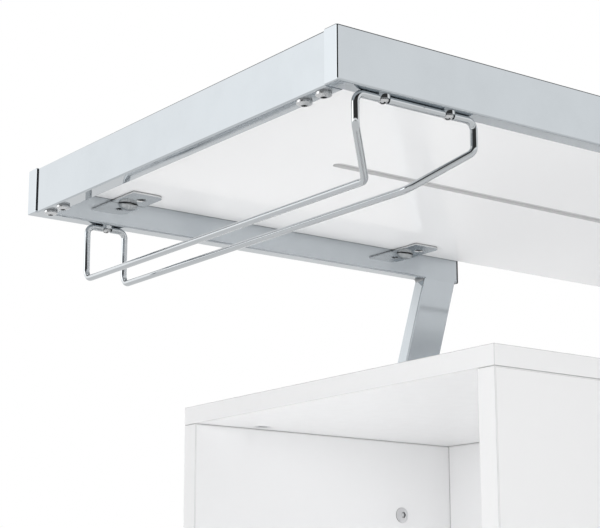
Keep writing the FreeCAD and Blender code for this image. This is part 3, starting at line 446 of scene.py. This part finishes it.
def dress_nodes():
    """Gives every carried-over CAD node its finish, by its material slot in the record."""
    finishes = {
        "chrome_tube": chrome("chrome_tube_finish", CHROME_TINT, 0.035, 0.004),
        # painted light: the legs' chrome is a 4% lighter copy of the tubes'
        "leg": chrome("leg_finish", darker(CHROME_TINT, 1.04), 0.035, 0.004, LEG_SATIN),
        "rack_rod": chrome("rack_rod_finish", ROD_TINT, 0.025, 0.002),
        "grey_bracket": tab_plate("tab_finish", TAB_TINT),
        "steel_fixing": plated_steel("screw_finish", STEEL_TINT, 0.2),
        "zinc_disc": plated_steel("disc_finish", ZINC_TINT, 0.25),
        "black_plastic": moulded("black_plastic_finish", BLACK_PLASTIC, 0.3, 0.2),
        "dowel_wood": beech("dowel_finish"),
    }
    slots = {part["node"]: part["material_slot"] for part in frame["record"]["subparts"]}
    for node, thing in frame["nodes"].items():
        slot = slots[node]
        if slot == "white_board":
            shine = TOP_GLOSS if node == "bar_top_board" else CABINET_GLOSS
            finish = lacquer(node + "_finish", node, **shine)
        elif node in OWN_FINISHES:
            tint, gloss = OWN_FINISHES[node]
            finish = plated_steel(node + "_finish", tint, gloss)
        elif node == "outer_end_plugs":
            finish = chrome("plug_finish", darker(CHROME_TINT, 1.07), 0.05, 0.002)
        elif node.startswith("leg_") and slot == "chrome_tube":
            finish = finishes["leg"]
        else:
            finish = finishes[slot]
        thing.data.materials.clear()
        thing.data.materials.append(finish)
        flatten_normals(thing)
    return finishes


# Pieces of mesh that the CAD model leaves out


def new_piece(name, mesh, material, smooth=True):
    """A piece that rides on the table's body, with its finish."""
    mesh.materials.append(material)
    for face in mesh.polygons:
        face.use_smooth = smooth
    piece = bpy.data.objects.new(name, mesh)
    bpy.context.scene.collection.objects.link(piece)
    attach(piece, BODY)
    return piece


def loft(name, rings):
    """A closed skin over rings of points that all have the same number of points."""
    work = bmesh.new()
    rows = [[work.verts.new(point) for point in ring] for ring in rings]
    count = len(rows[0])
    for row, following in zip(rows, rows[1:]):
        for number in range(count):
            other = (number + 1) % count
            work.faces.new((row[number], row[other], following[other], following[number]))
    work.faces.new(list(reversed(rows[0])))
    work.faces.new(rows[-1])
    bmesh.ops.recalc_face_normals(work, faces=work.faces)
    mesh = bpy.data.meshes.new(name)
    work.to_mesh(mesh)
    work.free()
    return mesh


def mirrored_to(point, side_x, side_y):
    """A point drawn at the far right corner, carried over to another corner."""
    return Vector((point[0] * side_x, point[1] * side_y, point[2]))


def corners():
    """The four corners, as the signs of X and Y and a name."""
    for side_x, name_x in ((-1, "left"), (1, "right")):
        for side_y, name_y in ((-1, "near"), (1, "far")):
            yield side_x, side_y, f"{name_x}_{name_y}"


FILLET_RADIUS = 2.2 * MM
FILLET_STEPS = 6
# along the fillet from one side of the tube to the other, and how far it stands out there
FILLET_SWELLS = ((0, 0.75), (0.12, 1), (0.5, 1.04), (0.88, 1), (1, 0.75))


def fillet_outline(corner, first_way, second_way):
    """Points of a hollow fillet between two straight lines that leave a corner."""
    half_angle = first_way.angle(second_way) / 2
    reach = FILLET_RADIUS / math.tan(half_angle)
    middle = corner + (first_way + second_way).normalized() * (FILLET_RADIUS / math.sin(half_angle))
    start = corner + first_way * reach - middle
    finish = corner + second_way * reach - middle
    points = []
    for number in range(FILLET_STEPS + 1):
        share = number / FILLET_STEPS
        points.append(middle + (start * (1 - share) + finish * share).normalized() * FILLET_RADIUS)
    return points


def leg_fillet(way, side_x, side_y):
    """Rings of the fillet on one side of a leg's top, inner for -1 and outer for 1."""
    uphill = Vector((-LEG_SLOPE, 0, 1)).normalized()
    corner = Vector((LEG_TOP + way * LEG_HALF_WIDTH, 0, ARM_UNDERSIDE))
    outline = fillet_outline(corner, Vector((way, 0, 0)), -uphill)
    inside = corner + Vector((-way, 0, 0.6)) * MM
    start = ARM_INNER_FACE + TUBE_CORNER * 0.6
    run = TUBE_THICKNESS - TUBE_CORNER * 1.2
    rings = []
    for share, swell in FILLET_SWELLS:
        y = start + share * run
        ring = [mirrored_to((inside.x, y, inside.z), side_x, side_y)]
        for point in outline:
            spot = corner + (point - corner) * swell
            ring.append(mirrored_to((spot.x, y, spot.z), side_x, side_y))
        rings.append(ring)
    return rings


STRIP_PROUD = 0.01 * MM
STRIP_DEPTH = 1.2 * MM
STRIP_LOW = -0.6 * MM
STRIP_HIGH = 1.7 * MM


def leg_strip(face_y, sign, side_x, side_y):
    """Rings of the flush ground strip over the joint, on one face of the tubes."""
    outline = ((STRIP_PROUD, STRIP_LOW), (STRIP_PROUD, STRIP_HIGH),
               (-STRIP_DEPTH, STRIP_HIGH), (-STRIP_DEPTH, STRIP_LOW))
    rings = []
    for end in (-1, 1):
        x = LEG_TOP + end * (LEG_HALF_WIDTH - TUBE_CORNER)
        ring = []
        for out, up in outline:
            point = (x - LEG_SLOPE * up, face_y + sign * out, ARM_UNDERSIDE + up)
            ring.append(mirrored_to(point, side_x, side_y))
        rings.append(ring)
    return rings


def leg_welds(material, weld_material):
    """Ground flush strips and hollow fillets where each leg's top meets its arm."""
    for side_x, side_y, corner_name in corners():
        for way, way_name in ((-1, "inner"), (1, "outer")):
            name = f"leg_weld_{corner_name}_{way_name}"
            mesh = loft(name, leg_fillet(way, side_x, side_y))
            new_piece(name, mesh, weld_material)
        for face_y, sign, face_name in ((ARM_OUTER_FACE, 1, "outer"), (ARM_INNER_FACE, -1, "inner")):
            name = f"leg_strip_{corner_name}_{face_name}"
            mesh = loft(name, leg_strip(face_y, sign, side_x, side_y))
            new_piece(name, mesh, material, smooth=False)


TAB_SETBACKS = (92 * MM, 417 * MM)
BEAD_SEED = 11
BEAD_HALF_LENGTH = 9.5 * MM
BEAD_PROUD = 5.4 * MM
BEAD_DROP = 5.2 * MM
BEAD_BITE = 0.3 * MM
BEAD_ROOT = 0.5 * MM
BEAD_STEPS = 18
BEAD_TURNS = 8


def tab_bead(setback, side_x, side_y):
    """Rings of a lumpy weld bead along the foot of one tab."""
    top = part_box("board_tabs")[1].z - TAB_THICKNESS - BEAD_BITE
    root = ARM_INNER_FACE + BEAD_ROOT
    rings = []
    for number in range(BEAD_STEPS + 1):
        along = -1 + 2 * number / BEAD_STEPS
        x = highest.x - setback + along * BEAD_HALF_LENGTH
        girth = math.sqrt(max(0.02, 1 - abs(along) ** 2.6))
        ripple = 1 + 0.09 * math.sin(number * 2.1) + random.uniform(-0.05, 0.05)
        proud = BEAD_PROUD * girth * ripple + BEAD_BITE
        drop = BEAD_DROP * girth * ripple
        outline = []
        for turn in range(BEAD_TURNS + 1):
            angle = math.pi / 2 * turn / BEAD_TURNS
            lump = 1 + random.uniform(-0.03, 0.03)
            out = proud * math.cos(angle) ** 0.9 * lump
            outline.append((ARM_INNER_FACE + BEAD_BITE - out, top - drop * math.sin(angle) * lump))
        outline.append((root, top - drop * 0.5))
        outline.append((root, top))
        rings.append([mirrored_to((x, y, z), side_x, side_y) for y, z in outline])
    return rings


def tab_welds(material):
    """A weld bead at each tab, where it meets the arm."""
    random.seed(BEAD_SEED)
    for setback in TAB_SETBACKS:
        for side_x, side_y, corner_name in corners():
            name = f"tab_weld_{round(setback / MM)}_{corner_name}"
            mesh = loft(name, tab_bead(setback, side_x, side_y))
            bead = new_piece(name, mesh, material)
            rounder = bead.modifiers.new("rounder", "SUBSURF")
            rounder.levels = 1
            rounder.render_levels = 1


ROD_WELD_SEED = 5
ROD_WELD_OFFSET = 6 * MM
ROD_WELD_TURNS = 24
ROD_WELD_ROUGH = 0.015 * MM
# along the rod, and how far the weld stands out there
ROD_WELD_SWELLS = ((-1.3, -0.02), (-0.9, 0.04), (-0.3, 0.1), (0.3, 0.1), (0.9, 0.04), (1.3, -0.02))


def rod_weld(material):
    """The closing butt weld of the bent rod, on its cross piece under the near arm."""
    random.seed(ROD_WELD_SEED)
    low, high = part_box("stem_rack")
    middle_x = (low.x + high.x) / 2 + ROD_WELD_OFFSET
    middle_y = lowest.y + TUBE_THICKNESS / 2
    middle_z = ARM_UNDERSIDE - ROD_RADIUS
    rings = []
    for offset, swell in ROD_WELD_SWELLS:
        x = middle_x + offset * MM
        ring = []
        for turn in range(ROD_WELD_TURNS):
            angle = 2 * math.pi * turn / ROD_WELD_TURNS
            radius = ROD_RADIUS + swell * MM + random.uniform(-ROD_WELD_ROUGH, ROD_WELD_ROUGH)
            ring.append((x, middle_y + radius * math.cos(angle), middle_z + radius * math.sin(angle)))
        rings.append(ring)
    new_piece("rod_weld", loft("rod_weld", rings), material)


# Studio: even light on matt surfaces, and the room and floor that the chrome mirrors

EVEN_LIGHT = 0.28
FAR_LEFT_WAY = (-0.6, 0.8, 0)
LEFT_WAY = (-0.95, 0.3, 0)
WINDOW_WAY = (-0.89, 0.45, 0)
DARK_SIDE_WAY = (-0.540, -0.842, 0)
DARK_SIDE_LEFT = 0.045
CEILING_LEFT = 0.16

FLOOR_HALF = 40
FLOOR_GLOW = 0.85
FLOOR_DIM = 0.45
FLOOR_LIGHT = 0.38
FLOOR_WHITE = 0.98
NEAR_LEFT_WAY = (-0.61, -0.79, 0)
RIGHT_WAY = (0.94, 0.34, 0)

# Each lamp's place, target, size and power in watts
LAMPS = {
    "fill": ((-2.2, -1.9, 0.5), (-0.3, 0, 0.8), (1.6, 1.6), 28),
    "left": ((-3.2, 0.4, 0.5), (-0.3, 0, 0.5), (1.6, 1.6), 12),
    "top": ((0, 0, 3.4), (0, 0, 0), (4, 4), 64),
    "back": ((1.2, 3.2, 1.0), (0.2, 0, 0.6), (2.4, 2.4), 26),
    "right": ((3.2, -0.4, 0.7), (0.3, 0, 0.6), (2, 2), 22),
    "inside_left": ((-0.305, 0, 0.47), (-0.305, 0, 1), (0.28, 0.28), 0.22),
    "inside_right": ((0.305, 0, 0.47), (0.305, 0, 1), (0.28, 0.28), 0.22),
    "gap": ((0, 0, 0.862), (0, 0, 1), (0.86, 0.36), 0.3),
}


def mirrored_room(tree):
    """How bright the chrome sees the room: pale walls, a dark near left side, a dim ring of ceiling."""
    way = add(tree, "ShaderNodeTexCoord").outputs["Generated"]
    x, y, z = split(tree, way)
    level = level_direction(tree, x, y)
    walls = ramp(tree, towards(tree, level, FAR_LEFT_WAY), -1, 1, 1.08, 1.30)
    bright_left = rise(tree, towards(tree, level, LEFT_WAY), 0.70, 0.86)
    walls = times(tree, walls, between(tree, bright_left, 1, 1.1))
    window = times(tree, rise(tree, towards(tree, level, WINDOW_WAY), 0.93, 0.96),
                   rise(tree, z, -0.1, 0))
    walls = times(tree, walls, between(tree, window, 1, 1.6))
    drift = noise(tree, way, *ROOM_DRIFT)
    walls = times(tree, walls, ramp(tree, drift, 0.3, 0.7, 0.96, 1.04))
    dark = times(tree, rise(tree, towards(tree, level, DARK_SIDE_WAY), 0.335, 0.405),
                 rise(tree, z, 0.1, 0.18))
    room = times(tree, walls, between(tree, dark, 1, DARK_SIDE_LEFT))
    ceiling = times(tree, rise(tree, z, 0.485, 0.585), fall(tree, z, 0.8, 0.92))
    return times(tree, room, between(tree, ceiling, 1, CEILING_LEFT))


def make_world():
    """White to the camera, an even light to matt surfaces, and the mirrored room to glossy ones."""
    world = bpy.data.worlds.new("studio")
    bpy.context.scene.world = world
    world.use_nodes = True
    tree = world.node_tree
    tree.nodes.clear()
    rays = add(tree, "ShaderNodeLightPath").outputs
    seen = maths(tree, "MAXIMUM", rays["Is Camera Ray"], rays["Is Transmission Ray"])
    light = mix_numbers(tree, rays["Is Glossy Ray"], EVEN_LIGHT, mirrored_room(tree))
    light = mix_numbers(tree, seen, light, 1.0)
    back = add(tree, "ShaderNodeBackground", {"Color": (1, 1, 1, 1), "Strength": light}).outputs[0]
    add(tree, "ShaderNodeOutputWorld", {"Surface": back})


def floor_glow(tree, level, distance):
    """How bright the chrome sees the floor: a little dimmer far out at the near left and the right."""
    dim = times(tree, rise(tree, towards(tree, level, NEAR_LEFT_WAY), 0.88, 0.95),
                rise(tree, distance, 4.4, 5.4))
    shaded = times(tree, rise(tree, towards(tree, level, RIGHT_WAY), 0.825, 0.885),
                   rise(tree, distance, 1.0, 2.5))
    return times(tree, between(tree, dim, FLOOR_GLOW, FLOOR_DIM), between(tree, shaded, 1, 0.5))


def floor_light(tree, x, y, distance):
    """Light from the floor on matt undersides: none from under the cabinet, more from the right."""
    beside = maths(tree, "MAXIMUM", rise(tree, size_of(tree, x), 0.40, 0.56),
                   rise(tree, size_of(tree, y), 0.15, 0.30))
    near_by = fall(tree, distance, 3, 6)
    sideways = ramp(tree, x, -1.2, 1.2, FLOOR_LIGHT * 0.8, FLOOR_LIGHT * 1.7)
    return times(tree, times(tree, beside, near_by), sideways)


def make_floor():
    """A pale floor that keeps the object's shadow and fades to the white background far out."""
    mesh = bpy.data.meshes.new("floor")
    half = FLOOR_HALF
    outline = [(-half, -half, 0), (half, -half, 0), (half, half, 0), (-half, half, 0)]
    mesh.from_pydata(outline, [], [(0, 1, 2, 3)])
    floor = bpy.data.objects.new("floor", mesh)
    bpy.context.scene.collection.objects.link(floor)
    material, tree, shader, place = new_material("floor_finish")
    cloud = noise(tree, place, *FLOOR_CLOUDS)
    feed(tree, shader, {
        "Base Color": mix_colours(tree, cloud, (0.90, 0.90, 0.90, 1), (0.92, 0.92, 0.92, 1)),
        "Roughness": 0.9,
        "Specular IOR Level": 0,
    })
    x, y, z = split(tree, place)
    level = level_direction(tree, x, y)
    distance = add(tree, "ShaderNodeVectorMath", {0: place}, operation="LENGTH").outputs["Value"]
    mirrored = glow_of(tree, floor_glow(tree, level, distance))
    lighting = glow_of(tree, floor_light(tree, x, y, distance))
    lit = add(tree, "ShaderNodeAddShader", {0: shader.outputs[0], 1: lighting}).outputs[0]
    white_share = between(tree, rise(tree, distance, 0.9, 2.4), 0.5, 1)
    pale = mix_shaders(tree, white_share, shader.outputs[0], glow_of(tree, FLOOR_WHITE))
    rays = add(tree, "ShaderNodeLightPath").outputs
    shown = mix_shaders(tree, rays["Is Glossy Ray"], lit, mirrored)
    shown = mix_shaders(tree, rays["Is Camera Ray"], shown, pale)
    feed(tree, tree.nodes["Material Output"], {"Surface": shown})
    mesh.materials.append(material)


def make_lamps():
    for name, (place, target, size, power) in LAMPS.items():
        lamp = bpy.data.lights.new(name, "AREA")
        lamp.shape = "RECTANGLE"
        lamp.size, lamp.size_y = size
        lamp.energy = power
        holder = bpy.data.objects.new(name, lamp)
        holder.location = place
        holder.rotation_euler = (Vector(target) - Vector(place)).to_track_quat("-Z", "Y").to_euler()
        holder.visible_glossy = False
        holder.visible_camera = False
        bpy.context.scene.collection.objects.link(holder)


make_camera()
make_world()
make_floor()
make_lamps()
finishes = dress_nodes()
# the leg fillets carry painted shade in their dark tint
leg_welds(finishes["chrome_tube"], plated_steel("shaded_weld_finish", SHADED_WELD_TINT, 0.25))
tab_welds(chrome("bead_finish", BEAD_TINT, 0.3, 0.004))
rod_weld(finishes["rack_rod"])

bpy.context.scene.view_settings.view_transform = "Standard"
